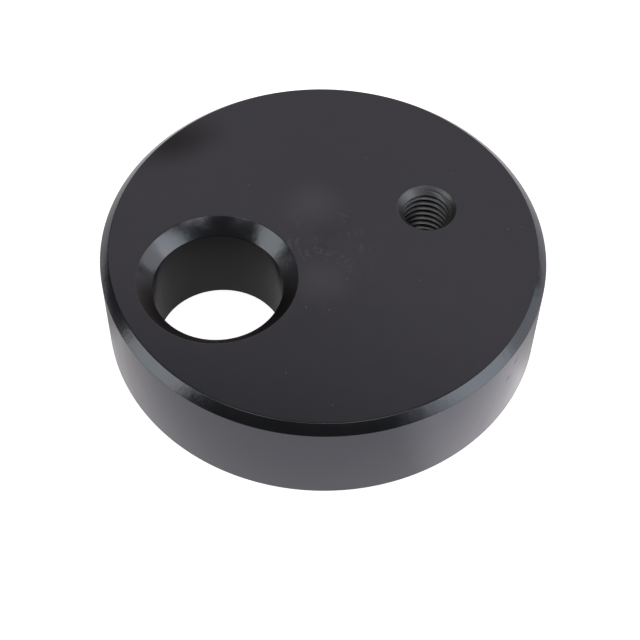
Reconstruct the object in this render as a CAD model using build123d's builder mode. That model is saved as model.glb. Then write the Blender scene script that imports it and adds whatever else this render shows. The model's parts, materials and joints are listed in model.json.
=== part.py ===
from build123d import *
import os

# A turned disc with a plain bore and a tapped hole through it. Both holes are square to the faces and
# lie on one diameter, on opposite sides of the turning axis. Millimetres. The origin is the centre of
# the bottom face, +Z is the turning axis, the bore lies towards -X and the tapped hole towards +X.

# Disc, turned all over from round bar
disc_diameter = 100.0
disc_thickness = 26.0
rim_chamfer = 2.0  # at 45 degrees, on both rims

# Plain bore
bore_diameter = 29.0
bore_wall = 10.0  # metal left between the bore and the disc's rim
bore_top_chamfer = 3.3  # at 45 degrees
bore_bottom_chamfer = 2.6  # at 45 degrees

# Tapped hole, with a metric coarse thread
thread_diameter = 12.0
thread_pitch = 1.75
thread_wall = 18.3  # metal left between the thread and the disc's rim
countersink_margin = 0.75  # how far each countersink reaches past the thread, all round

# Worked out from the sizes above
disc_radius = disc_diameter / 2
bore_offset = disc_radius - bore_wall - bore_diameter / 2
tapped_offset = disc_radius - thread_wall - thread_diameter / 2
tap_drill_diameter = thread_diameter - thread_pitch
countersink = (thread_diameter - tap_drill_diameter) / 2 + countersink_margin  # at 45 degrees

SAME_PLACE = 0.001  # two centres closer than this are one


def mouth(body, centre_x, height):
    """The circular edge of a hole centred at centre_x on the X axis, where it opens at a height."""
    centre = Vector(centre_x, 0, height)
    circles = body.edges().filter_by(GeomType.CIRCLE)
    return circles.filter_by(lambda edge: (edge.arc_center - centre).length < SAME_PLACE)


def through_hole(body, centre_x, diameter, top_chamfer, bottom_chamfer):
    """A round hole through both faces of the disc, with a chamfered mouth at each."""
    with Locations((centre_x, 0, disc_thickness)):
        Hole(diameter / 2)
    chamfer(mouth(body, centre_x, disc_thickness), length=top_chamfer)
    chamfer(mouth(body, centre_x, 0), length=bottom_chamfer)


with BuildPart() as turned_disc:
    # The blank: half of its section, revolved about the turning axis
    with BuildSketch(Plane.XZ) as half_section:
        Rectangle(disc_radius, disc_thickness, align=(Align.MIN, Align.MIN))
        rim_corners = half_section.vertices().group_by(Axis.X)[-1]
        chamfer(rim_corners, length=rim_chamfer)
    revolve(axis=Axis.Z)

    through_hole(turned_disc, -bore_offset, bore_diameter, bore_top_chamfer, bore_bottom_chamfer)

    # The tapped hole at its tap-drill size: the thread is cut into this wall
    through_hole(turned_disc, tapped_offset, tap_drill_diameter, countersink, countersink)

os.makedirs("parts", exist_ok=True)
turned_disc.part.label = "turned_disc"
export_step(turned_disc.part, "parts/turned_disc.step")

print("hole centres apart:", bore_offset + tapped_offset, "mm")
print("tap drill:", tap_drill_diameter, "mm, countersinks:", tap_drill_diameter + 2 * countersink, "mm")
print("volume:", round(turned_disc.part.volume / 1000, 2), "cm3")
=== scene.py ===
# %% [markdown]
# # A blackened steel disc, turned on a lathe
#
# The real object is one piece of steel: a thick round disc with a large bore on one side of its axis and a
# small tapped hole on the other. It was turned from bar, bored, drilled, tapped, and then blackened in a
# hot bath that grows a thin skin of black iron oxide. This notebook rebuilds its surface in Blender. Each
# step says what the feature is on the real part, how it could be made, and why one way was chosen.
#
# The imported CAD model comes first. It is a fixed frame: it says how big the disc is and where its holes
# are, so nothing here is placed by eye.

# %% Load the frame
import json
import math

import bmesh
import bpy
from mathutils import Matrix, Vector
from mathutils.geometry import delaunay_2d_cdt


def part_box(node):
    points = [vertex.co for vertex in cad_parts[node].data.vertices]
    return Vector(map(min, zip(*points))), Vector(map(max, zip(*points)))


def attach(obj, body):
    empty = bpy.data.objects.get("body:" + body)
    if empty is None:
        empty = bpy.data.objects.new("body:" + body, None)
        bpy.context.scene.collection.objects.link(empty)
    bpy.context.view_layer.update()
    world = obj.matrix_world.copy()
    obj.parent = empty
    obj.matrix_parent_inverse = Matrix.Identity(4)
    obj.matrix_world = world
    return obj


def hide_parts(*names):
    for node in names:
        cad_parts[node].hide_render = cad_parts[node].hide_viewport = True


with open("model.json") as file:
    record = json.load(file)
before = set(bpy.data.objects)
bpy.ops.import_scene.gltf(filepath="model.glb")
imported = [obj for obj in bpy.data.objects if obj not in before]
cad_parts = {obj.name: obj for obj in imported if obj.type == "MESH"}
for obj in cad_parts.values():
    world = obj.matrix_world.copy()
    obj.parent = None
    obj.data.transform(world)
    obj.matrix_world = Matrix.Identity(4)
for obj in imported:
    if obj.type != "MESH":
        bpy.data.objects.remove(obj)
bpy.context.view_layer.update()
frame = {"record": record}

MM = 0.001  # Blender works in metres

# %% [markdown]
# ## Sizes
#
# Everything is worked out from a few driving sizes. The disc's diameter and thickness are read from its
# box, and each hole's place and radius from the record's mounts, so the two models can't drift apart. Only
# the small things that a box and a mount don't state are written here: chamfers, the screw thread and the
# tiny rounding that a deburring tool leaves on an edge.

# %% Sizes
low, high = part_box("turned_disc")
mounts = {mount["name"]: mount for mount in frame["record"]["mounts"]}

DISC_RADIUS = (high[0] - low[0]) / 2
BOTTOM, TOP = low[2], high[2]
RIM_CHAMFER = 2.0 * MM

BORE_X = mounts["bore"]["pos_m"][0]
BORE_RADIUS = mounts["bore"]["dims"]["r_mm"] * MM
BORE_TOP_CHAMFER = 3.3 * MM
BORE_BOTTOM_CHAMFER = TOP - BOTTOM - mounts["bore"]["dims"]["length_mm"] * MM - BORE_TOP_CHAMFER

TAPPED_X = mounts["tapped_hole"]["pos_m"][0]
TAP_DRILL_RADIUS = mounts["tapped_hole"]["dims"]["r_mm"] * MM
COUNTERSINK = (TOP - BOTTOM - mounts["tapped_hole"]["dims"]["length_mm"] * MM) / 2
THREAD_RADIUS = 6.0 * MM  # metric coarse thread, 12 mm across its roots
THREAD_PITCH = 1.75 * MM

EDGE_BREAK = 0.25 * MM  # radius left on each corner by deburring

print("disc:", round(DISC_RADIUS / MM, 2), "mm in radius and", round((TOP - BOTTOM) / MM, 2), "mm thick")
print("bore at x", round(BORE_X / MM, 2), "mm, tapped hole at x", round(TAPPED_X / MM, 2), "mm")

# %% [markdown]
# ## Camera
#
# The camera comes early, because every choice of light and finish is judged through it. It looks down at
# the disc from about 53 degrees up, a third of a metre away, through a short telephoto lens. Blender's
# camera looks along its own -Z, so it is turned up from straight down, swung round the Z axis, and rolled
# by a degree about its line of sight. Aiming it with a Track To constraint would leave no say in that roll.
# Blender measures focal length against a 36 mm wide sensor, so a focal length known in pixels is scaled by
# the sensor's width over the image's width.

# %% Camera
IMAGE_WIDTH = 640  # pixels
SENSOR_WIDTH = 36.0  # mm
FOCAL_PIXELS = 1497.6
AZIMUTH = math.radians(-24.56)  # 0 looks along +Y
ELEVATION = math.radians(53.496)
ROLL = math.radians(1.147)
DISTANCE = 336.37 * MM
AIM = Vector((-5.84, -11.72, 14.37)) * MM  # the point at the middle of the image

camera_data = bpy.data.cameras.new("camera")
camera_data.sensor_width = SENSOR_WIDTH
camera_data.lens = FOCAL_PIXELS / IMAGE_WIDTH * SENSOR_WIDTH
camera = bpy.data.objects.new("camera", camera_data)
bpy.context.scene.collection.objects.link(camera)

camera_turn = (Matrix.Rotation(AZIMUTH, 4, "Z")
               @ Matrix.Rotation(math.radians(90) - ELEVATION, 4, "X")
               @ Matrix.Rotation(ROLL, 4, "Z"))
camera_place = AIM + camera_turn.to_3x3() @ Vector((0, 0, DISTANCE))
camera.matrix_world = Matrix.Translation(camera_place) @ camera_turn
bpy.context.scene.camera = camera
print("lens", round(camera_data.lens, 2), "mm, camera at", [round(v, 4) for v in camera_place])

# %% [markdown]
# ## Tools for building nodes and colours
#
# A finish is a small network of nodes. One function adds a node, sets its values and links its inputs, so
# a material reads as a list of steps. Colours are chosen as sRGB hex values, as on a screen, but Blender
# calculates with linear light, so one function converts them.


# %% Node and colour helpers
def linear(hex_colour):
    """An sRGB colour such as "#53545a" as Blender's linear red, green, blue and alpha."""
    channels = [int(hex_colour[i:i + 2], 16) / 255 for i in (1, 3, 5)]
    return [c / 12.92 if c <= 0.04045 else ((c + 0.055) / 1.055) ** 2.4 for c in channels] + [1.0]


def node(tree, kind, settings=None, **inputs):
    """Adds one node. An input given as a socket is linked, and any other value is set on the node.

    Inputs are named as Blender names them, with underscores for spaces, or i0, i1, i2 by their place.
    """
    new = tree.nodes.new(kind)
    for name, value in (settings or {}).items():
        setattr(new, name, value)
    for name, value in inputs.items():
        key = int(name[1:]) if name[0] == "i" and name[1:].isdigit() else name.replace("_", " ")
        if isinstance(value, bpy.types.NodeSocket):
            tree.links.new(value, new.inputs[key])
        else:
            new.inputs[key].default_value = value
    return new


print("mid grey #808080 in linear light:", round(linear("#808080")[0], 3))

# %% [markdown]
# ## Patterns that run round an axis
#
# Every mark that a lathe leaves runs round the axis of the surface it cuts, and here there are three axes:
# the disc's own, the bore's and the tapped hole's. So a pattern first needs to know where a point lies as
# the lathe sees it: how far from the axis, in which direction, and how far along the feed. The feed is
# along the radius on a faced end and along the axis on a wall.
#
# Streaks are noise that is looked up at a point made of the direction from the axis and the distance along
# the feed. Two numbers set their grain: how many there are in a turn, and how wide each is along the feed.
# Few and narrow ones follow the tool round, and many and wide ones stand across it, as chatter does. An
# image wrapped round the part would do too, but it would show a seam and would have to be unwrapped first.


# %% Patterns that run round an axis
def around_axis(tree, axis_x, flat):
    """A point's place, the direction to it from the axis, and how far along the feed it lies."""
    place = node(tree, "ShaderNodeNewGeometry").outputs["Position"]
    offset = node(tree, "ShaderNodeVectorMath", {"operation": "SUBTRACT"}, i0=place, i1=(axis_x, 0, 0))
    level = node(tree, "ShaderNodeVectorMath", {"operation": "MULTIPLY"}, i0=offset.outputs[0], i1=(1, 1, 0))
    radius = node(tree, "ShaderNodeVectorMath", {"operation": "LENGTH"}, i0=level.outputs[0])
    spoke = node(tree, "ShaderNodeVectorMath", {"operation": "NORMALIZE"}, i0=level.outputs[0])
    height = node(tree, "ShaderNodeSeparateXYZ", i0=place)
    return place, spoke.outputs[0], radius.outputs["Value"] if flat else height.outputs["Z"]


def streaks(tree, spoke, across, per_turn, width, detail):
    """Noise round the axis: about per_turn streaks in a turn, each width wide along the feed."""
    along = node(tree, "ShaderNodeMath", {"operation": "DIVIDE"}, i0=across, i1=width).outputs[0]
    stack = node(tree, "ShaderNodeCombineXYZ", Z=along).outputs[0]
    reach = per_turn / (2 * math.pi)
    spot = node(tree, "ShaderNodeVectorMath", {"operation": "MULTIPLY_ADD"},
                i0=spoke, i1=(reach, reach, 0), i2=stack)
    return node(tree, "ShaderNodeTexNoise", Vector=spot.outputs[0], Scale=1.0, Detail=detail).outputs["Fac"]


STREAKS_PER_TURN = 60
FACE_STREAK = 4 * MM  # how wide a streak is along the feed on a faced end
WALL_STREAK = 40 * MM  # and on a wall, where that is more than the wall's height
rim_round = 2 * math.pi * DISC_RADIUS
print("a streak on the rim is", round(rim_round / STREAKS_PER_TURN / MM, 1), "mm long round the disc")

# %% [markdown]
# ## Blackened steel
#
# Hot blackening turns the skin of the steel into magnetite, a black iron oxide about a thousandth of a
# millimetre thick. It isn't a paint: the tool marks show through, it reflects like a dark metal, and it
# has almost no colour of its own. Seen square on it gives back less than a tenth of the light, a little
# bluer than it came, and at a glancing angle it shines like any metal. In Blender that is Metallic 1
# with a very dark blue-grey base colour, because a metal's base colour is how much it reflects square on.
# A painted black would need Metallic 0, and would look chalky beside it. A metal keeps the default IOR.
#
# A lathe leaves fine grooves round the axis. They are far too fine to see one by one, but together they
# spread a reflection across the grooves more than along them. Blender calls that anisotropy. Its tangent
# is set round the axis of each surface and turned a quarter, so that highlights stretch across the grooves.

# %% Blackened steel
GROOVE_PITCH = 0.35 * MM  # the real feed is about 0.1 mm: drawn coarser so that it shows at all
PATCH_SIZE = 9 * MM  # patches where the bath has worked unevenly
UNEVENNESS = 0.15  # how much duller or shinier a streak or patch is than the rest
QUARTER_TURN = 0.25
BLACKENED = "#53545a"
BLACKENED_THIN = "#57585d"


def blackened_steel(name, axis_x, flat, roughness, groove_depth, anisotropy,
                    colours=(BLACKENED, BLACKENED_THIN), patch_size=PATCH_SIZE, waviness=0.0):
    """Steel turned round a vertical axis at axis_x and blackened. flat is for a face square to the axis."""
    material = bpy.data.materials.new(name)
    material.use_nodes = True
    tree = material.node_tree
    tree.nodes.clear()
    place, spoke, across = around_axis(tree, axis_x, flat)
    tangent = node(tree, "ShaderNodeVectorMath", {"operation": "CROSS_PRODUCT"}, i0=(0, 0, 1), i1=spoke)

    patches = node(tree, "ShaderNodeTexNoise", Vector=place, Scale=1 / patch_size, Detail=4.0, Roughness=0.6)
    tone = node(tree, "ShaderNodeMix", {"data_type": "RGBA"}, Factor=patches.outputs["Fac"])
    tone.inputs["A"].default_value = linear(colours[0])
    tone.inputs["B"].default_value = linear(colours[1])

    # Tool grooves across the feed, on skin that is a little wavy where it was filed or handled
    feed = node(tree, "ShaderNodeTexNoise", {"noise_dimensions": "1D"},
                W=across, Scale=1 / GROOVE_PITCH, Detail=3.0)
    waves = node(tree, "ShaderNodeBump", Strength=1.0, Distance=waviness, Height=patches.outputs["Fac"])
    grooves = node(tree, "ShaderNodeBump", Strength=1.0, Distance=groove_depth, Height=feed.outputs["Fac"],
                   Normal=waves.outputs["Normal"])

    # Two noises added together stay mostly between 0.6 and 1.4
    streaky = streaks(tree, spoke, across, STREAKS_PER_TURN, FACE_STREAK if flat else WALL_STREAK, 3.0)
    uneven = node(tree, "ShaderNodeMath", {"operation": "ADD"}, i0=patches.outputs["Fac"], i1=streaky)
    dullness = node(tree, "ShaderNodeMapRange", Value=uneven.outputs[0], From_Min=0.6, From_Max=1.4,
                    To_Min=roughness * (1 - UNEVENNESS), To_Max=roughness * (1 + UNEVENNESS))

    steel = node(tree, "ShaderNodeBsdfPrincipled", Base_Color=tone.outputs["Result"], Metallic=1.0,
                 Roughness=dullness.outputs["Result"], Normal=grooves.outputs["Normal"],
                 Tangent=tangent.outputs[0])
    steel.inputs["Anisotropic"].default_value = anisotropy
    steel.inputs["Anisotropic Rotation"].default_value = QUARTER_TURN
    node(tree, "ShaderNodeOutputMaterial", Surface=steel.outputs["BSDF"])
    return material


print("light that the skin gives back square on:", round(linear(BLACKENED)[1], 3))

# %% [markdown]
# ## Five finishes of one steel
#
# The whole part went through one bath, but each surface met it fresh from a different tool. The faced ends
# and the turned rim have clear grooves and a satin sheen. The chamfers were cut in one short pass and
# dressed by hand, so they are smooth, slightly wavy, and reflect the same way in every direction. The
# bore's wall is given a slightly darker and warmer colour, and the tapped hole is the dullest, torn by the
# tap. Patches on a chamfer are smaller, since the chamfer itself is narrow. Five materials from one function
# keep the steel the same and change only what the tool changed.

# %% Five finishes of one steel
BORE_COLOURS = ("#525152", "#585656")
TAPPED_COLOURS = ("#616164", "#6b6b6d")
GROOVE_DEPTH = 0.0006 * MM
FAINT_GROOVE_DEPTH = 0.0003 * MM
WAVINESS = 0.05 * MM
CHAMFER_PATCH = 2.5 * MM

faced = blackened_steel("faced_blackened_steel", 0, flat=True, roughness=0.22,
                        groove_depth=GROOVE_DEPTH, anisotropy=0.5)
turned = blackened_steel("turned_blackened_steel", 0, flat=False, roughness=0.20,
                         groove_depth=GROOVE_DEPTH, anisotropy=0.6, waviness=WAVINESS)
chamfered = blackened_steel("chamfered_blackened_steel", 0, flat=False, roughness=0.20,
                            groove_depth=FAINT_GROOVE_DEPTH, anisotropy=0.0,
                            patch_size=CHAMFER_PATCH, waviness=WAVINESS)
bored = blackened_steel("bored_blackened_steel", BORE_X, flat=False, roughness=0.22,
                        groove_depth=GROOVE_DEPTH, anisotropy=0.5, colours=BORE_COLOURS)
tapped = blackened_steel("tapped_blackened_steel", TAPPED_X, flat=False, roughness=0.42,
                         groove_depth=FAINT_GROOVE_DEPTH, anisotropy=0.0, colours=TAPPED_COLOURS)
finishes = [faced, turned, chamfered, bored, tapped]
FACED, TURNED, CHAMFERED, BORED, TAPPED = range(len(finishes))
print("finishes:", [finish.name for finish in finishes])

# %% [markdown]
# ## Marks of making and handling
#
# A plain finish looks like a drawing of steel. What makes it a part is what happened to it. A few of the
# paler marks are painted sheen and painted highlights rather than marks of use. Each mark is laid over the
# finish with a mask, so the finish below stays as it was: the mask is 1 where the mark is and 0 where it
# isn't, and a Mix node blends between the two. Most masks are a soft round spot. A painted image could hold
# the marks too, but a spot is placed in millimetres and stays sharp at any size.


# %% Lay marks over a finish
def lay_over(material, mask, colour=None, roughness=None):
    """Blends a colour, a roughness or both into a finish where mask is 1."""
    tree = material.node_tree
    steel = tree.nodes["Principled BSDF"]
    if colour is not None:
        under = steel.inputs["Base Color"].links[0].from_socket
        over = node(tree, "ShaderNodeMix", {"data_type": "RGBA"}, Factor=mask, A=under, B=linear(colour))
        tree.links.new(over.outputs["Result"], steel.inputs["Base Color"])
    if roughness is not None:
        under = steel.inputs["Roughness"].links[0].from_socket
        over = node(tree, "ShaderNodeMix", Factor=mask, A=under, B=roughness)
        tree.links.new(over.outputs["Result"], steel.inputs["Roughness"])


def near(tree, place, centre, radius, soft=0.5, stretch=(1, 1, 1)):
    """1 at a point, falling to 0 at a radius from it. soft is the share of the radius taken by the fall."""
    offset = node(tree, "ShaderNodeVectorMath", {"operation": "SUBTRACT"}, i0=place, i1=centre).outputs[0]
    scaled = node(tree, "ShaderNodeVectorMath", {"operation": "DIVIDE"}, i0=offset, i1=stretch).outputs[0]
    away = node(tree, "ShaderNodeVectorMath", {"operation": "LENGTH"}, i0=scaled).outputs["Value"]
    spot = node(tree, "ShaderNodeMapRange", {"interpolation_type": "SMOOTHSTEP"}, Value=away,
                From_Min=radius * (1 - soft), From_Max=radius, To_Min=1.0, To_Max=0.0)
    return spot.outputs["Result"]


steel_inputs = chamfered.node_tree.nodes["Principled BSDF"].inputs
print("a mark can change:", [key for key in ("Base Color", "Roughness") if steel_inputs[key].is_linked])

# %% [markdown]
# ## The torn centre of the faced end, and its painted sheen
#
# At the middle of a faced end the work hardly moves under the tool, so the steel tears instead of cutting
# cleanly. The last 15 mm are a little duller and paler, with short bright flecks that run round the
# centre. The paler colour there is partly painted sheen, the faint brightening that the turning grooves
# give the centre. The flecks are streaks of noise with their contrast raised until only the peaks are left,
# and a second, scattered noise breaks them up so that they don't close into rings. A radial gradient is
# easier, but it gives an even stain and no flecks. On either side of the centre a paler patch is painted
# sheen: the two lobes of the bow-tie highlight that the turning grooves throw.

# %% The torn centre of the faced end
TORN_RADIUS = 15 * MM
# paler colour of the torn centre: partly real tearing, partly painted sheen
TORN_SHEEN_COLOUR = "#58585e"
TORN_ROUGHNESS = 0.30
FLECKS_PER_TURN = 14
FLECK_WIDTH = 0.9 * MM
FLECK_PEAKS = (0.50, 0.62)  # noise above the first value shows, and from the second it is full
SCATTER_SIZE = 4 * MM
SCATTER_PEAKS = (0.48, 0.60)
FLECK_COLOUR = "#6e6e74"
# painted sheen: two paler patches, the lobes of the grooves' bow-tie highlight
SHEEN_PATCHES = [(2.2, 11.0), (-4.5, -9.0)]  # x and y in mm
SHEEN_RADIUS = 10 * MM
SHEEN_COLOUR = "#626268"

tree = faced.node_tree
place, spoke, across = around_axis(tree, 0, flat=True)
torn = near(tree, place, (0, 0, TOP), TORN_RADIUS, soft=1.0)
lay_over(faced, torn, colour=TORN_SHEEN_COLOUR, roughness=TORN_ROUGHNESS)

streaky = streaks(tree, spoke, across, FLECKS_PER_TURN, FLECK_WIDTH, 2.0)
streaky = node(tree, "ShaderNodeMapRange", Value=streaky,
               From_Min=FLECK_PEAKS[0], From_Max=FLECK_PEAKS[1])
scatter = node(tree, "ShaderNodeTexNoise", Vector=place, Scale=1 / SCATTER_SIZE, Detail=2.0)
scatter = node(tree, "ShaderNodeMapRange", Value=scatter.outputs["Fac"],
               From_Min=SCATTER_PEAKS[0], From_Max=SCATTER_PEAKS[1])
flecks = node(tree, "ShaderNodeMath", {"operation": "MULTIPLY"},
              i0=streaky.outputs["Result"], i1=scatter.outputs["Result"])
flecks = node(tree, "ShaderNodeMath", {"operation": "MULTIPLY"}, i0=torn, i1=flecks.outputs[0])
lay_over(faced, flecks.outputs[0], colour=FLECK_COLOUR)

# Painted sheen on either side of the centre
for x, y in SHEEN_PATCHES:
    sheen_patch = near(tree, place, (x * MM, y * MM, TOP), SHEEN_RADIUS, soft=1.0)
    lay_over(faced, sheen_patch, colour=SHEEN_COLOUR)
print("torn centre:", TORN_RADIUS / MM, "mm in radius, flecks", FLECKS_PER_TURN, "to a turn")

# %% [markdown]
# ## Oil and dust on the faced end
#
# A thumb print of the oil that seals the black skin has darkened one place near the rim, and dust has
# settled since. Real dust stands up from the face, but a speck is only about a tenth of a millimetre
# high, so a pale dull spot in the finish does for it, and the part keeps its clean mesh.

# %% Oil and dust on the faced end
SMEAR_CENTRE = (-20.0 * MM, 42.0 * MM, TOP)
SMEAR_RADIUS = 12 * MM
SMEAR_STRETCH = (1.3, 0.8, 1)
SMEAR_COLOUR = "#3d3b3e"
DUST_COLOUR = "#a8a6a2"
DUST_ROUGHNESS = 0.6
DUST = [  # x, y and radius in mm
    (19.4, 19.4, 0.14), (36.0, 7.2, 0.12), (39.8, -12.8, 0.16), (43.0, -13.5, 0.13), (-10.8, -15.2, 0.14),
    (-6.6, -17.9, 0.15), (-9.0, 22.3, 0.12), (15.2, -18.2, 0.11), (-21.5, -29.4, 0.11), (-15.7, -40.6, 0.12),
    (7.2, -10.2, 0.11), (2.3, -7.2, 0.10), (0.5, -11.6, 0.11),
]

smear = near(tree, place, SMEAR_CENTRE, SMEAR_RADIUS, soft=1.0, stretch=SMEAR_STRETCH)
lay_over(faced, smear, colour=SMEAR_COLOUR)
for x, y, size in DUST:
    speck = near(tree, place, (x * MM, y * MM, TOP), size * MM)
    lay_over(faced, speck, colour=DUST_COLOUR, roughness=DUST_ROUGHNESS)
print("specks of dust:", len(DUST))

# %% [markdown]
# ## Wear and painted highlights on the bore's chamfer
#
# The bore's wide chamfer is where a hand or a hook lifts the part, so it is worn more than the rest. Rather
# more than its near half has gone duller, and beside the bright reflection on the right a scuff has
# scratched through to barer steel. Two places are painted paler, a painted highlight that brightens the
# chamfer's reflection there. The dull stretch is one very large spot that is centred outside the bore and
# kept to the bore by a second spot, so its edges cross the chamfer almost straight. The scratches are
# noise with its contrast raised, as the flecks are.

# %% Wear on the bore's chamfer
CHAMFER_HEIGHT = TOP - 1.6 * MM  # about half-way down the bore's chamfer
AROUND_BORE = 20 * MM  # takes in the whole chamfer, and stops short of the rim's
DULL_CENTRE = (-33.1 * MM, -29.0 * MM, CHAMFER_HEIGHT)
DULL_RADIUS = 40 * MM
DULL_COLOUR = "#575455"
DULL_ROUGHNESS = 0.40
# painted highlight: paler places that brighten the chamfer's reflection
PAINTED_HIGHLIGHT_PLACES = [(-37.4, 10.9, 9.0), (-9.9, -4.1, 8.0)]  # x, y and radius in mm
PAINTED_HIGHLIGHT_COLOUR = "#605f64"
SCUFF_CENTRE = (-9.3 * MM, -0.9 * MM, CHAMFER_HEIGHT)
SCUFF_RADIUS = 2.2 * MM
SCRATCH_SIZE = 1.3 * MM
SCRATCH_PEAKS = (0.50, 0.62)
BARE_COLOUR = "#77767a"
BARE_ROUGHNESS = 0.45

tree = chamfered.node_tree
place = node(tree, "ShaderNodeNewGeometry").outputs["Position"]
in_bore = near(tree, place, (BORE_X, 0, TOP), AROUND_BORE, soft=0.1)
near_half = near(tree, place, DULL_CENTRE, DULL_RADIUS, soft=0.1)
dulled = node(tree, "ShaderNodeMath", {"operation": "MULTIPLY"}, i0=in_bore, i1=near_half)
lay_over(chamfered, dulled.outputs[0], colour=DULL_COLOUR, roughness=DULL_ROUGHNESS)

# Painted highlights on the bore's chamfer
for x, y, size in PAINTED_HIGHLIGHT_PLACES:
    painted_highlight = near(tree, place, (x * MM, y * MM, CHAMFER_HEIGHT), size * MM, soft=0.6)
    lay_over(chamfered, painted_highlight, colour=PAINTED_HIGHLIGHT_COLOUR)

scratches = node(tree, "ShaderNodeTexNoise", Vector=place,
                 Scale=1 / SCRATCH_SIZE, Detail=2.0, Distortion=0.8)
scratches = node(tree, "ShaderNodeMapRange", Value=scratches.outputs["Fac"],
                 From_Min=SCRATCH_PEAKS[0], From_Max=SCRATCH_PEAKS[1])
scuff = near(tree, place, SCUFF_CENTRE, SCUFF_RADIUS, soft=0.8)
scuff = node(tree, "ShaderNodeMath", {"operation": "MULTIPLY"}, i0=scuff, i1=scratches.outputs["Result"])
lay_over(chamfered, scuff.outputs[0], colour=BARE_COLOUR, roughness=BARE_ROUGHNESS)
print("worn places on the bore's chamfer:", len(PAINTED_HIGHLIGHT_PLACES))

# %% [markdown]
# ## Knocks on the rim
#
# The disc has been knocked on its rim at least twice. Each knock left a small dark spot in the skin, with a
# duller ring around it where the grooves were flattened. The spots are under a millimetre across, so they
# are drawn in the finish: a real dent in the mesh would need many more triangles and look the same.

# %% Knocks on the rim
KNOCKS = [(27.1, -42.0, 19.6), (24.9, -43.4, 16.2)]  # x, y and z in mm
KNOCK_RADIUS = 0.45 * MM
KNOCK_STRETCH = (1, 1, 0.5)
KNOCK_COLOUR = "#2e2c29"
FLATTENED_RADIUS = 1.6 * MM
FLATTENED_ROUGHNESS = 0.30

tree = turned.node_tree
place = node(tree, "ShaderNodeNewGeometry").outputs["Position"]
for x, y, z in KNOCKS:
    centre = (x * MM, y * MM, z * MM)
    flattened = near(tree, place, centre, FLATTENED_RADIUS, soft=1.0)
    lay_over(turned, flattened, roughness=FLATTENED_ROUGHNESS)
    lay_over(turned, near(tree, place, centre, KNOCK_RADIUS, stretch=KNOCK_STRETCH), colour=KNOCK_COLOUR)
print("knocks on the rim:", len(KNOCKS))

# %% [markdown]
# ## Turned surfaces
#
# The rim and the bore are surfaces of revolution: a short outline swept once round an axis, exactly what
# the lathe did. A screw modifier could do the sweep, but the rings have to meet the flat faces and the
# thread vertex for vertex, so the sweep is written out. An outline lists only its sharp corners, and one
# function swaps each corner for a small arc, because a real edge is never perfectly sharp and that arc
# is what catches the light.


# %% Outlines and rings
ARC_STEPS = 4


def broken_edges(corners, radius):
    """The outline through corners, with every corner between the ends swapped for an arc of that radius."""
    outline = [Vector(corners[0])]
    for before, corner, after in zip(corners, corners[1:], corners[2:]):
        corner = Vector(corner)
        back = (Vector(before) - corner).normalized()
        ahead = (Vector(after) - corner).normalized()
        half_angle = back.angle(ahead) / 2
        middle = corner + (back + ahead).normalized() * radius / math.sin(half_angle)
        start = corner + back * radius / math.tan(half_angle) - middle
        end = corner + ahead * radius / math.tan(half_angle) - middle
        turn = abs(start.angle_signed(end))
        for step in range(ARC_STEPS + 1):
            share = step / ARC_STEPS
            swung = start * math.sin((1 - share) * turn) + end * math.sin(share * turn)
            outline.append(middle + swung / math.sin(turn))
    return outline + [Vector(corners[-1])]


def ring(bm, centre_x, radius, height, segments):
    """One closed ring of vertices."""
    angles = [2 * math.pi * i / segments for i in range(segments)]
    return [bm.verts.new((centre_x + radius * math.cos(a), radius * math.sin(a), height)) for a in angles]


def skin(bm, rings, finish, inward):
    """Quads between neighbouring rings. inward is for the wall of a hole."""
    for upper, lower in zip(rings, rings[1:]):
        count = len(upper)
        for i in range(count):
            j = (i + 1) % count
            corners = [upper[i], lower[i], lower[j], upper[j]]
            face = bm.faces.new(corners[::-1] if inward else corners)
            face.material_index = finish
            face.smooth = True


def turned_wall(bm, centre_x, corners, segments, finish, inward):
    """Sweeps an outline of (radius, height) corners, listed from the top down, round a vertical axis."""
    outline = broken_edges(corners, EDGE_BREAK)
    rings = [ring(bm, centre_x, point.x, point.y, segments) for point in outline]
    skin(bm, rings, finish, inward)
    return rings


right_angle = [(0, 1), (0, 0), (1, 0)]
print("a right angle with its edge broken has", len(broken_edges(right_angle, 0.1)), "points")

# %% [markdown]
# ## The rim and the bore
#
# Each outline starts and ends on a flat face, a little way in from the corner. That short flat stretch
# keeps the rounding of the edge to itself: smooth shading blends normals across neighbouring faces, and
# without it the blend would smear over the big flat face.

# %% The rim and the bore
RIM_SEGMENTS = 360
BORE_SEGMENTS = 180
FLAT_LIP = 0.4 * MM

body = bmesh.new()
rim_edge = DISC_RADIUS - RIM_CHAMFER
rim_outline = [
    (rim_edge - FLAT_LIP, TOP), (rim_edge, TOP), (DISC_RADIUS, TOP - RIM_CHAMFER),
    (DISC_RADIUS, BOTTOM + RIM_CHAMFER), (rim_edge, BOTTOM), (rim_edge - FLAT_LIP, BOTTOM),
]
rim = turned_wall(body, 0, rim_outline, RIM_SEGMENTS, TURNED, inward=False)

bore_top_edge = BORE_RADIUS + BORE_TOP_CHAMFER
bore_bottom_edge = BORE_RADIUS + BORE_BOTTOM_CHAMFER
bore_outline = [
    (bore_top_edge + FLAT_LIP, TOP), (bore_top_edge, TOP), (BORE_RADIUS, TOP - BORE_TOP_CHAMFER),
    (BORE_RADIUS, BOTTOM + BORE_BOTTOM_CHAMFER), (bore_bottom_edge, BOTTOM),
    (bore_bottom_edge + FLAT_LIP, BOTTOM),
]
bore = turned_wall(body, BORE_X, bore_outline, BORE_SEGMENTS, BORED, inward=True)
print("rim and bore:", len(body.faces), "faces")

# %% [markdown]
# ## The thread
#
# A tap cuts a V groove that climbs round the hole, right-handed, 1.75 mm a turn. A boolean of a helical
# cutter could make it, but booleans leave ragged triangles where two curved skins cross. Instead the whole
# wall of the hole is one grid, because at any angle and height only one radius is right: the largest of
# the drilled hole, the groove and the countersink, since each tool only takes metal away.


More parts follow.
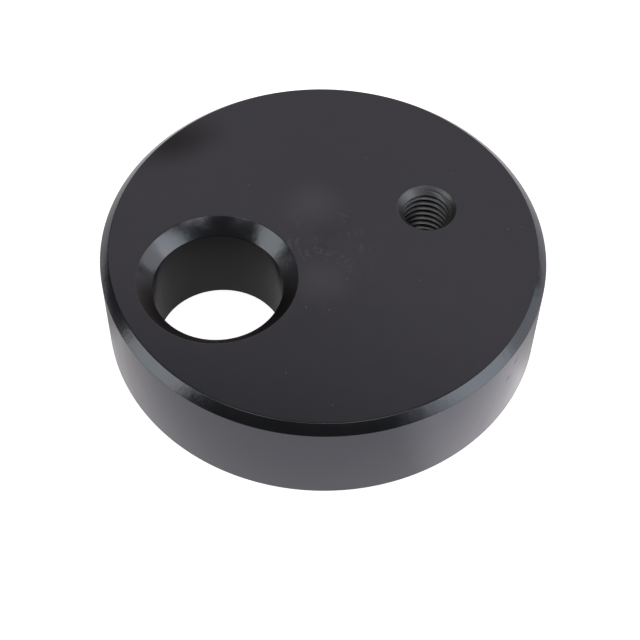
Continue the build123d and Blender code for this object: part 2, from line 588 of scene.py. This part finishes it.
# %% The shape of the thread
CREST_ROUND = 0.05 * MM
ROOT_HALF_FLAT = THREAD_PITCH / 16
FLANK_SLOPE = 1 / math.tan(math.radians(30))  # the V is 60 degrees wide
THREAD_START = -0.19  # turns by which the thread is swung round its axis


def softened_max(a, b, rounding):
    """The larger of a and b, with the corner where they cross rounded off."""
    gap = max(rounding - abs(a - b), 0) / rounding
    return max(a, b) + gap * gap * rounding / 4


def hole_radius(turns, height):
    """The radius of the tapped hole's wall, at an angle in turns and a height."""
    climb = (height / THREAD_PITCH - turns - THREAD_START) % 1.0
    off_centre = abs(climb - 0.5) * THREAD_PITCH
    groove = THREAD_RADIUS - max(off_centre - ROOT_HALF_FLAT, 0) * FLANK_SLOPE
    mouth_top = TAP_DRILL_RADIUS + COUNTERSINK - (TOP - height)
    mouth_bottom = TAP_DRILL_RADIUS + COUNTERSINK - (height - BOTTOM)
    cut = softened_max(TAP_DRILL_RADIUS, groove, CREST_ROUND)
    return softened_max(cut, max(mouth_top, mouth_bottom), CREST_ROUND)


halfway = (TOP + BOTTOM) / 2
quarters = [round(hole_radius(i / 4, halfway) / MM, 2) for i in range(4)]
print("the wall's radius at each quarter turn, half-way down:", quarters, "mm")

# %% [markdown]
# ## The threaded wall
#
# On the real part the crests and roots run unbroken from one mouth to the other. The grid could have level
# rows, but each crest would then cross them in steps. Its rows climb with the thread instead, so they run
# along the crests. Rows that would run past the threaded length are held at its end, and the corners that
# then coincide are merged.


# %% The threaded wall
THREAD_SEGMENTS = 144
ROWS_PER_TURN = 24
MOUTH_CONE = 0.6 * MM  # this near to a face the countersink is wider than the thread
THREAD_TOP = TOP - MOUTH_CONE
THREAD_BOTTOM = BOTTOM + MOUTH_CONE
SAME_POINT = 0.0005 * MM


def thread_rows(bm):
    """Rows of vertices, from the top down, that climb with the thread and stop at the two mouths."""
    step = THREAD_PITCH / ROWS_PER_TURN
    rows = round((THREAD_TOP - THREAD_BOTTOM) / step) + ROWS_PER_TURN + 1
    first = THREAD_TOP + step
    for row in range(rows + 1):
        line = []
        for i in range(THREAD_SEGMENTS + 1):
            turns = i / THREAD_SEGMENTS
            height = first - row * step + turns * THREAD_PITCH
            height = min(max(height, THREAD_BOTTOM), THREAD_TOP)
            radius = hole_radius(turns, height)
            angle = 2 * math.pi * turns
            line.append(bm.verts.new((TAPPED_X + radius * math.cos(angle), radius * math.sin(angle), height)))
        yield line


def cut_thread(bm):
    """Adds the threaded wall."""
    lines = list(thread_rows(bm))
    for upper, lower in zip(lines, lines[1:]):
        for i in range(THREAD_SEGMENTS):
            face = bm.faces.new([upper[i + 1], lower[i + 1], lower[i], upper[i]])
            face.material_index = TAPPED
            face.smooth = True
    bmesh.ops.remove_doubles(bm, verts=[v for line in lines for v in line], dist=SAME_POINT)


cut_thread(body)
print("thread:", round((THREAD_TOP - THREAD_BOTTOM) / THREAD_PITCH, 1), "turns")

# %% [markdown]
# ## The mouths of the tapped hole
#
# Above the last turn the countersink is a plain cone, so its mouth is a turned ring like the others, with
# the same number of vertices round as the thread. Merging the rows that meet joins cone and thread into
# one skin. One sliver of 0.27 by 0.01 mm stays open at the lower mouth, where the rows begin and end: it is
# far too small to show, and the count of edges in the next step finds its three sides.

# %% The mouths of the tapped hole
mouth_edge = TAP_DRILL_RADIUS + COUNTERSINK
cone_end = mouth_edge - MOUTH_CONE
upper_cone = [(mouth_edge + FLAT_LIP, TOP), (mouth_edge, TOP), (cone_end, THREAD_TOP)]
lower_cone = [(cone_end, THREAD_BOTTOM), (mouth_edge, BOTTOM), (mouth_edge + FLAT_LIP, BOTTOM)]
upper_mouth = turned_wall(body, TAPPED_X, upper_cone, THREAD_SEGMENTS, TAPPED, inward=True)
lower_mouth = turned_wall(body, TAPPED_X, lower_cone, THREAD_SEGMENTS, TAPPED, inward=True)
print("with the tapped hole:", len(body.faces), "faces")

# %% [markdown]
# ## The two flat faces
#
# Each faced end is a plane with two holes in it. A plain fill would join the loops with long thin triangles,
# so the face is triangulated through a scatter of points on rings about the axis, which keeps the triangles
# even. Triangles that fall inside a hole are left out. At the end, every edge should join two faces, so
# the ones that don't are counted.


# %% Fill the flat faces
RING_SPACING = 4.0 * MM
CLEAR_OF_LOOPS = 1.5 * MM
WHOLE_HULL = 0  # asks delaunay_2d_cdt for every triangle inside the outer loop
POINTS_MEET = 1e-7  # metres, points nearer than this are taken as one


def scatter_points():
    """Points on rings about the axis that keep clear of the rim and of both holes."""
    holes = [(BORE_X, bore_top_edge + FLAT_LIP), (TAPPED_X, mouth_edge + FLAT_LIP)]
    points = [Vector((0, 0))]
    for band in range(1, int(DISC_RADIUS / RING_SPACING)):
        radius = band * RING_SPACING
        count = round(2 * math.pi * radius / RING_SPACING)
        angles = [2 * math.pi * i / count for i in range(count)]
        points += [Vector((radius * math.cos(a), radius * math.sin(a))) for a in angles]
    room = rim_edge - FLAT_LIP - CLEAR_OF_LOOPS
    return [p for p in points if p.length < room
            and all((p - Vector((x, 0))).length > reach + CLEAR_OF_LOOPS for x, reach in holes)]


def flat_face(bm, height, loops, upward):
    """Fills the plane between the outer loop and the loops of the two holes."""
    verts = [v for loop in loops for v in loop]
    edges, start = [], 0
    for loop in loops:
        edges += [(start + i, start + (i + 1) % len(loop)) for i in range(len(loop))]
        start += len(loop)
    scatter = scatter_points()
    points = [v.co.xy for v in verts] + scatter
    made = delaunay_2d_cdt(points, edges, [], WHOLE_HULL, POINTS_MEET)
    triangles, given_points = made[2], made[3]
    verts = verts + [bm.verts.new((p.x, p.y, height)) for p in scatter]
    holes = [(BORE_X, loops[1]), (TAPPED_X, loops[2])]
    reach = [(x, (loop[0].co.xy - Vector((x, 0))).length) for x, loop in holes]
    for triangle in triangles:
        corners = [verts[given_points[i][0]] for i in triangle]
        middle = sum((c.co.xy for c in corners), Vector((0, 0))) / 3
        if any((middle - Vector((x, 0))).length < r for x, r in reach):
            continue
        face = bm.faces.new(corners if upward else corners[::-1])
        face.material_index = FACED
        face.smooth = True


flat_face(body, TOP, [rim[0], bore[0], upper_mouth[0]], upward=True)
flat_face(body, BOTTOM, [rim[-1], bore[-1], lower_mouth[-1]], upward=False)
bmesh.ops.remove_doubles(body, verts=body.verts, dist=SAME_POINT)
loose = [edge for edge in body.edges if len(edge.link_faces) != 2]
print("faces:", len(body.faces), "edges that don't join two faces:", len(loose))

# %% [markdown]
# ## The finished disc
#
# The mesh becomes one object that stands for the CAD node, which is hidden, and rides on its body.
# The outlines gave every ring of the rim and the bore one finish, so the flat lips and the chamfers are now
# sorted out by their tilt: flat ones are faced, sloping ones chamfered. Each could have got its finish as
# it was made, but the tilt also deals with the small arcs between them.

# %% Make the disc
FLAT_TILT = 0.9999  # a face's normal along Z when it is square to the axis
WALL_TILT = 0.02  # and the most it has on a wall

mesh = bpy.data.meshes.new("blackened_disc")
for face in body.faces:
    tilt = abs(face.normal.z)
    if tilt > FLAT_TILT:
        face.material_index = FACED
    elif tilt > WALL_TILT and face.material_index != TAPPED:
        face.material_index = CHAMFERED
body.to_mesh(mesh)
triangles = sum(len(face.verts) - 2 for face in body.faces)
body.free()
for finish in finishes:
    mesh.materials.append(finish)
disc = bpy.data.objects.new("blackened_disc", mesh)
bpy.context.scene.collection.objects.link(disc)
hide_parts("turned_disc")
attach(disc, "root")
print("triangles:", triangles)

# %% [markdown]
# ## Floor
#
# The disc stands on a large plain sheet of white paper, and one square is all the mesh that it needs. The
# disc presses in by a hundredth of a millimetre, so that its underside and the paper never share a plane:
# two surfaces in one plane show through each other in blotches.

# %% Floor
FLOOR_SIZE = 6.0  # metres, far past what any view takes in
PAPER_GIVE = 0.01 * MM

half = FLOOR_SIZE / 2
floor_corners = [(-half, -half, 0), (half, -half, 0), (half, half, 0), (-half, half, 0)]
floor_mesh = bpy.data.meshes.new("floor")
floor_mesh.from_pydata(floor_corners, [], [(0, 1, 2, 3)])
floor = bpy.data.objects.new("floor", floor_mesh)
bpy.context.scene.collection.objects.link(floor)
floor.location.z = BOTTOM + PAPER_GIVE
print("floor at", round(floor.location.z / MM, 3), "mm")

# %% [markdown]
# ## How the paper glows
#
# A dark shiny part is lit by what it reflects, so the floor matters as much as the lamps: the whole rim
# mirrors it. The paper glows a little, like a light table. Lamps alone could light plain paper, but then its
# brightness could not be set apart from theirs. The glow dies away under the disc, so the walls of the
# holes stay dark. It is stronger in front of the larger soft box and weaker close behind the disc, in its
# shade. Seen directly, the paper is plain white, as in any well exposed studio shot. From below it is
# clear, so that the underside of the disc can be looked at.


# %% How the paper glows
FLOOR_GLOW = 0.52
RIGHT_GLOW = 0.34  # added in front of the larger soft box
BACK_SHADE = -0.40  # and taken away close behind the disc
UNDER_GLOW = 0.08
RIGHT_AZIMUTH, BACK_AZIMUTH = 30.44, 151.44  # degrees, 0 is towards -Y and 90 towards +X
RIGHT_FADE = (0.84, 0.96)  # cosines of the angle from there at which the change starts and is full
BACK_FADE = (-0.33, -0.15)
SHADE_REACH = (DISC_RADIUS + 8 * MM, DISC_RADIUS + 30 * MM)
UNDER_REACH = (DISC_RADIUS - 4 * MM, DISC_RADIUS - 2 * MM)
PAPER_COLOUR = "#dcdcdc"
GLOW_COLOUR = "#fff9fd"

paper = bpy.data.materials.new("white_paper")
paper.use_nodes = True
tree = paper.node_tree
tree.nodes.clear()
place = node(tree, "ShaderNodeNewGeometry").outputs["Position"]
reach = node(tree, "ShaderNodeVectorMath", {"operation": "LENGTH"}, i0=place).outputs["Value"]
way = node(tree, "ShaderNodeVectorMath", {"operation": "NORMALIZE"}, i0=place).outputs[0]


def lobe(azimuth, fade, amount):
    """Glow that is added on one side of the disc and fades out with the angle from its middle."""
    middle = Matrix.Rotation(math.radians(azimuth), 3, "Z") @ Vector((0, -1, 0))
    facing = node(tree, "ShaderNodeVectorMath", {"operation": "DOT_PRODUCT"}, i0=way, i1=middle)
    added = node(tree, "ShaderNodeMapRange", {"interpolation_type": "SMOOTHSTEP"},
                 Value=facing.outputs["Value"], From_Min=fade[0], From_Max=fade[1],
                 To_Min=0.0, To_Max=amount)
    return added.outputs["Result"]


close = node(tree, "ShaderNodeMapRange", Value=reach, From_Min=SHADE_REACH[0], From_Max=SHADE_REACH[1],
             To_Min=1.0, To_Max=0.0)
shade = node(tree, "ShaderNodeMath", {"operation": "MULTIPLY"},
             i0=close.outputs["Result"], i1=lobe(BACK_AZIMUTH, BACK_FADE, BACK_SHADE))
sides = node(tree, "ShaderNodeMath", {"operation": "ADD"},
             i0=lobe(RIGHT_AZIMUTH, RIGHT_FADE, RIGHT_GLOW), i1=shade.outputs[0])
level = node(tree, "ShaderNodeMath", {"operation": "ADD"}, i0=sides.outputs[0], i1=FLOOR_GLOW)
glow = node(tree, "ShaderNodeMapRange", Value=reach, From_Min=UNDER_REACH[0], From_Max=UNDER_REACH[1],
            To_Min=UNDER_GLOW, To_Max=level.outputs[0])
seen = node(tree, "ShaderNodeLightPath").outputs["Is Camera Ray"]
strength = node(tree, "ShaderNodeMath", {"operation": "MAXIMUM"}, i0=glow.outputs["Result"], i1=seen)

sheet = node(tree, "ShaderNodeBsdfDiffuse", Color=linear(PAPER_COLOUR))
light = node(tree, "ShaderNodeEmission", Color=linear(GLOW_COLOUR), Strength=strength.outputs[0])
above = node(tree, "ShaderNodeAddShader", i0=sheet.outputs[0], i1=light.outputs[0])
below = node(tree, "ShaderNodeBsdfTransparent")
underneath = node(tree, "ShaderNodeNewGeometry").outputs["Backfacing"]
one_sided = node(tree, "ShaderNodeMixShader", i0=underneath, i1=above.outputs[0], i2=below.outputs[0])
node(tree, "ShaderNodeOutputMaterial", Surface=one_sided.outputs[0])
floor_mesh.materials.append(paper)
brightest = round(FLOOR_GLOW + RIGHT_GLOW, 2)
print("the paper's glow:", UNDER_GLOW, "under the disc, up to", brightest, "beside it")

# %% [markdown]
# ## Lights
#
# Two large soft boxes stand low on either side. The chamfers mirror them, so the edges of the boxes are
# where the bright stretches of the chamfers begin and end. The right one is built of three: a wide sheet, a
# brighter core and a faint soft edge. Three small panels hang high, round the camera, and shine down on the
# walls of the bore and the flanks of the thread. A wide, weak, slightly warm panel stands behind, and it is
# what the top face mirrors. Nothing bright stands low in front, which is what the front of the rim's
# chamfer mirrors, so that stays black.
#
# Area lamps show in a reflection as the panels they are, where point lamps would show as dots. A lamp's
# power is worked out from its brightness and its area, so its size can be changed while its reflection
# stays as bright.


# %% Lights
WHITE = "#ffffff"
COOL_WHITE = "#f3fafa"
GREENISH_WHITE = "#fbfff8"
WARM_WHITE = "#fff5f5"


def soft_box(name, azimuth, elevation, distance, width, height, brightness, colour):
    """A rectangular lamp that faces the disc. azimuth is 0 on the camera's side and grows to the right."""
    lamp_data = bpy.data.lights.new(name, "AREA")
    lamp_data.shape = "RECTANGLE"
    lamp_data.size = width
    lamp_data.size_y = height
    lamp_data.energy = brightness * math.pi * width * height
    lamp_data.color = linear(colour)[:3]
    lamp = bpy.data.objects.new(name, lamp_data)
    bpy.context.scene.collection.objects.link(lamp)
    turn = (Matrix.Rotation(AZIMUTH + math.radians(azimuth), 4, "Z")
            @ Matrix.Rotation(math.radians(90 - elevation), 4, "X"))
    lamp.matrix_world = Matrix.Translation(turn.to_3x3() @ Vector((0, 0, distance))) @ turn


LAMPS = [  # name, azimuth and elevation in degrees, distance, width and height in metres, brightness, colour
    ("right_soft_box", 82.2, 21, 1.0, 1.24, 0.76, 1.05, COOL_WHITE),
    ("right_soft_box_core", 72.5, 24, 0.98, 0.5, 0.62, 1.1, COOL_WHITE),
    ("right_soft_box_edge", 47, 22, 1.05, 0.32, 0.6, 0.3, COOL_WHITE),
    ("left_soft_box", -75.9, 24, 1.0, 0.54, 0.8, 1.85, GREENISH_WHITE),
    ("overhead_left", -45, 60, 1.0, 0.4, 0.5, 1.6, WHITE),
    ("overhead_right", 32, 60, 1.0, 0.4, 0.5, 1.8, WHITE),
    ("overhead_middle", -5, 67, 1.0, 0.26, 0.26, 1.2, WHITE),
    ("back_panel", 163, 31, 1.0, 1.5, 1.2, 0.46, WARM_WHITE),
]
for lamp_settings in LAMPS:
    soft_box(*lamp_settings)

# %% [markdown]
# ## The room
#
# Whatever isn't a lamp or paper is a dim room, which keeps the dark reflections from going fully black.
# Below the level of the floor the room is bright, so that the underside of the disc isn't lost when it is
# looked at from below. The camera itself sees plain white behind everything. Walls could be modelled, but
# the lamps would light them too, and one number could no longer say how dim the room is. The Standard view
# shows colours as they are: a film-like view would lift the blacks of a part that is nearly all black.

# %% The room
ROOM = 0.08
BELOW_FLOOR = 1.0
HORIZON_FADE = -0.05  # a unit direction's height, just below level, at which the room is fully bright

world = bpy.data.worlds.new("studio")
world.use_nodes = True
tree = world.node_tree
way = node(tree, "ShaderNodeTexCoord").outputs["Generated"]
height = node(tree, "ShaderNodeSeparateXYZ", i0=way).outputs["Z"]
dim = node(tree, "ShaderNodeMapRange", Value=height, From_Min=HORIZON_FADE, From_Max=0.0,
           To_Min=BELOW_FLOOR, To_Max=ROOM)
seen = node(tree, "ShaderNodeLightPath").outputs["Is Camera Ray"]
strength = node(tree, "ShaderNodeMath", {"operation": "MAXIMUM"}, i0=dim.outputs["Result"], i1=seen)
background = tree.nodes["Background"]
background.inputs["Color"].default_value = linear(WHITE)
tree.links.new(strength.outputs[0], background.inputs["Strength"])
bpy.context.scene.world = world
bpy.context.scene.view_settings.view_transform = "Standard"
print("view transform:", bpy.context.scene.view_settings.view_transform)
